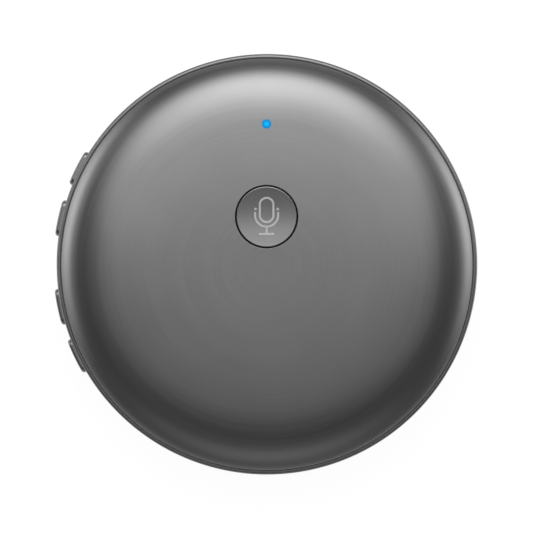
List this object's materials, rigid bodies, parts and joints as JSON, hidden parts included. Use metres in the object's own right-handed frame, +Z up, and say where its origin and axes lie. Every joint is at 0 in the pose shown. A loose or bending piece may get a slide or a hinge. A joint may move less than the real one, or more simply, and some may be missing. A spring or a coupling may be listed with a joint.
{
  "type": "handheld translator",
  "caption": "Round palm-sized translator with a domed metal cover, a dished push-to-talk button, a status light, side keys and a charging port.",
  "frame": {"origin": "on the puck's axis, on the plane that the rubber foot ring stands on", "axes": "+Z up out of the domed cover; +Y towards the status light; -Y towards the charging port; the side keys are on -X"},
  "size_m": [0.0764, 0.076, 0.016],
  "materials": {
    "cover_metal": "fine turned, anodised dark grey",
    "case_metal": "bead blasted, anodised dark grey",
    "key_metal": "satin, anodised dark grey",
    "button_metal": "fine turned, anodised dark grey",
    "black_rubber": "moulded matt",
    "frame_plastic": "moulded, glass filled",
    "light_plastic": "clear acrylic, lit blue",
    "screw_steel": "zinc plated",
    "board_laminate": "solder resist over glass laminate",
    "chip_epoxy": "moulded epoxy",
    "tinned_steel": "tinned sheet",
    "switch_plastic": "moulded nylon",
    "battery_foil": "laminated pouch foil",
    "copper_flex": "polyimide over copper",
    "speaker_steel": "plated steel",
    "cone_film": "formed film",
    "mesh_cloth": "woven acoustic mesh",
    "foam": "closed cell foam",
    "adhesive": "double sided tape",
    "port_steel": "drawn steel, nickel plated"
  },
  "bodies": {
    "housing": {"antenna": "copper_flex", "antenna_contact": "tinned_steel", "audio_chip": "chip_epoxy", "battery": "battery_foil", "battery_connector": "switch_plastic", "battery_flex": "copper_flex", "battery_pad": "adhesive", "board_screws": "screw_steel", "case_screws": "screw_steel", "foot_ring": "black_rubber", "front_mic": "tinned_steel", "front_mic_boot": "black_rubber", "inductor": "chip_epoxy", "inner_frame": "frame_plastic", "led_chip": "chip_epoxy", "light_pipe": "light_plastic", "lower_case": "case_metal", "main_board": "board_laminate", "main_switch": "switch_plastic", "memory_chip": "chip_epoxy", "menu_switch": "switch_plastic", "power_chip": "chip_epoxy", "power_switch": "switch_plastic", "processor": "chip_epoxy", "rear_mic": "tinned_steel", "rear_mic_boot": "black_rubber", "seam_gasket": "black_rubber", "shield_can": "tinned_steel", "speaker": "speaker_steel", "speaker_cone": "cone_film", "speaker_contacts": "tinned_steel", "speaker_gasket": "foam", "speaker_mesh": "mesh_cloth", "top_cover": "cover_metal", "usb_port": "port_steel", "usb_tongue": "switch_plastic", "volume_down_switch": "switch_plastic", "volume_up_switch": "switch_plastic"},
    "talk_button": {"mic_button": "button_metal", "mic_button_carrier": "frame_plastic", "main_switch_plunger": "switch_plastic"},
    "volume_up": {"volume_up_key": "key_metal", "volume_up_plunger": "switch_plastic"},
    "volume_down": {"volume_down_key": "key_metal", "volume_down_plunger": "switch_plastic"},
    "menu": {"menu_key": "key_metal", "menu_plunger": "switch_plastic"},
    "power": {"power_key": "key_metal", "power_plunger": "switch_plastic"}
  },
  "joints": [
    {"name": "talk_button_press", "type": "slide", "parent": "housing", "child": "talk_button", "axis": [0, 0, -1], "range_m": [0, 0.0005], "stiffness_N_per_m": 400, "springref_m": -0.002},
    {"name": "volume_up_press", "type": "slide", "parent": "housing", "child": "volume_up", "axis": [0.891, -0.454, 0], "range_m": [0, 0.0004], "stiffness_N_per_m": 500, "springref_m": -0.0016},
    {"name": "volume_down_press", "type": "slide", "parent": "housing", "child": "volume_down", "axis": [0.9759, -0.2181, 0], "range_m": [0, 0.0004], "stiffness_N_per_m": 500, "springref_m": -0.0016},
    {"name": "menu_press", "type": "slide", "parent": "housing", "child": "menu", "axis": [0.9792, 0.2028, 0], "range_m": [0, 0.0004], "stiffness_N_per_m": 500, "springref_m": -0.0016},
    {"name": "power_press", "type": "slide", "parent": "housing", "child": "power", "axis": [0.9003, 0.4352, 0], "range_m": [0, 0.0004], "stiffness_N_per_m": 500, "springref_m": -0.0016}
  ]
}
